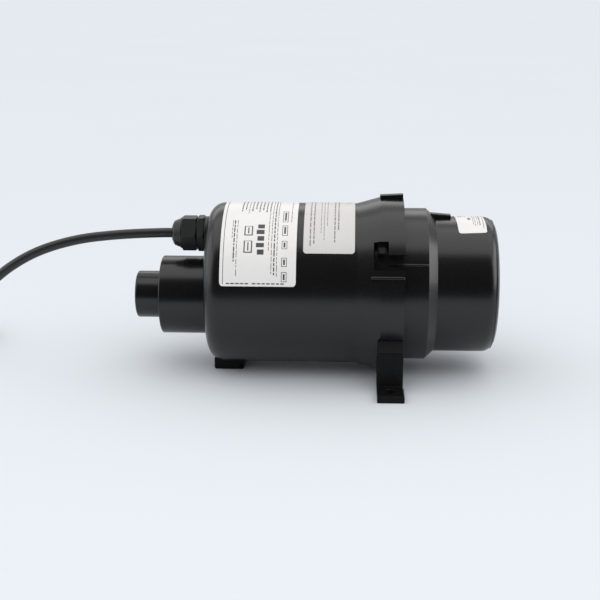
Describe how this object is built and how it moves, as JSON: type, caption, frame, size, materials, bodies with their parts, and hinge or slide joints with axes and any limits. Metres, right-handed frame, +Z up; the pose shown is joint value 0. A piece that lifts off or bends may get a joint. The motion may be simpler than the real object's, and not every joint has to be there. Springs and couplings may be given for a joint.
{
  "type": "air pump",
  "caption": "Canister air blower with a stepped plastic housing, twist-off intake cap, outlet spigot, floor legs and a mains lead.",
  "frame": {"origin": "centre of the bounding box's base without the cord, on the floor that the pads stand on", "axes": "+X along the blower's axis from the outlet spigot to the twist-off cap, +Y to the leg away from the cord side view, +Z up"},
  "size_m": [0.7442, 0.2455, 0.1822],
  "materials": {
    "black_moulded_plastic": "semi-gloss moulded",
    "black_foot_plastic": "matt moulded",
    "dark_nylon": "satin moulded",
    "label_film": "satin printed film",
    "grey_label_film": "satin printed film",
    "cord_pvc": "satin extruded",
    "black_rubber": "matt moulded",
    "grey_filter_foam": "open-cell foam",
    "tie_strap": "woven strap",
    "bright_steel": "ground",
    "zinc_plated_steel": "bright zinc plate",
    "lamination_steel": "varnished laminations",
    "enamelled_copper": "enamelled wire",
    "brass": "drawn",
    "cast_aluminium": "as cast",
    "carbon": "pressed carbon",
    "brown_insulation": "satin",
    "blue_insulation": "satin",
    "green_insulation": "satin"
  },
  "bodies": {
    "housing": {"brush_bracket": "cast_aluminium", "brush_holder_lower": "brass", "brush_holder_upper": "brass", "brush_spring_lower": "bright_steel", "brush_spring_upper": "bright_steel", "caution_label": "grey_label_film", "coil_tie": "tie_strap", "cord_coil": "cord_pvc", "cord_tail": "cord_pvc", "earth_lead": "green_insulation", "earth_screw": "zinc_plated_steel", "fan_bracket": "cast_aluminium", "fan_shell": "zinc_plated_steel", "field_coil_lower": "enamelled_copper", "field_coil_upper": "enamelled_copper", "front_bearing_outer": "bright_steel", "front_motor_ring": "black_rubber", "gland_body": "dark_nylon", "gland_dome_nut": "dark_nylon", "gland_locknut": "dark_nylon", "gland_seal": "black_rubber", "live_lead": "brown_insulation", "main_housing": "black_moulded_plastic", "mounting_leg_back": "black_foot_plastic", "mounting_leg_front": "black_foot_plastic", "neutral_lead": "blue_insulation", "outlet_end_foot": "black_foot_plastic", "outlet_spigot": "black_moulded_plastic", "plug_body": "cord_pvc", "plug_pin_1": "brass", "plug_pin_2": "brass", "plug_pin_3": "brass", "power_cord": "cord_pvc", "rating_label": "label_film", "rear_bearing_outer": "bright_steel", "rear_motor_ring": "black_rubber", "stage_divider": "cast_aluminium", "stator_core": "lamination_steel", "thermal_cutout": "black_foot_plastic", "through_bolt_back": "zinc_plated_steel", "through_bolt_front": "zinc_plated_steel"},
    "cap": {"end_cap": "black_moulded_plastic", "cap_label": "label_film", "intake_foam": "grey_filter_foam"},
    "rotor": {"motor_shaft": "bright_steel", "armature_core": "lamination_steel", "armature_winding_rear": "enamelled_copper", "armature_winding_fan_side": "enamelled_copper", "commutator": "enamelled_copper", "second_stage_impeller": "cast_aluminium", "first_stage_impeller": "cast_aluminium", "rear_fan_spacer": "bright_steel", "middle_fan_spacer": "bright_steel", "fan_nut": "bright_steel", "front_bearing_inner": "bright_steel", "rear_bearing_inner": "bright_steel"},
    "upper_brush": {"carbon_brush_upper": "carbon"},
    "lower_brush": {"carbon_brush_lower": "carbon"}
  },
  "joints": [
    {"name": "cap_twist", "type": "hinge", "parent": "housing", "child": "cap", "pos_m": [0.09, 0, 0.089], "axis": [1, 0, 0], "range_deg": [0, 10]},
    {"name": "rotor_spin", "type": "hinge", "parent": "housing", "child": "rotor", "pos_m": [0.0044, 0, 0.089], "axis": [1, 0, 0], "continuous": true},
    {"name": "upper_brush_slide", "type": "slide", "parent": "housing", "child": "upper_brush", "axis": [0, 0, 1], "range_m": [0, 0.004], "stiffness_N_per_m": 250, "springref_m": -0.004, "deforming": ["brush_spring_upper"]},
    {"name": "lower_brush_slide", "type": "slide", "parent": "housing", "child": "lower_brush", "axis": [0, 0, -1], "range_m": [0, 0.004], "stiffness_N_per_m": 250, "springref_m": -0.004, "deforming": ["brush_spring_lower"]}
  ]
}
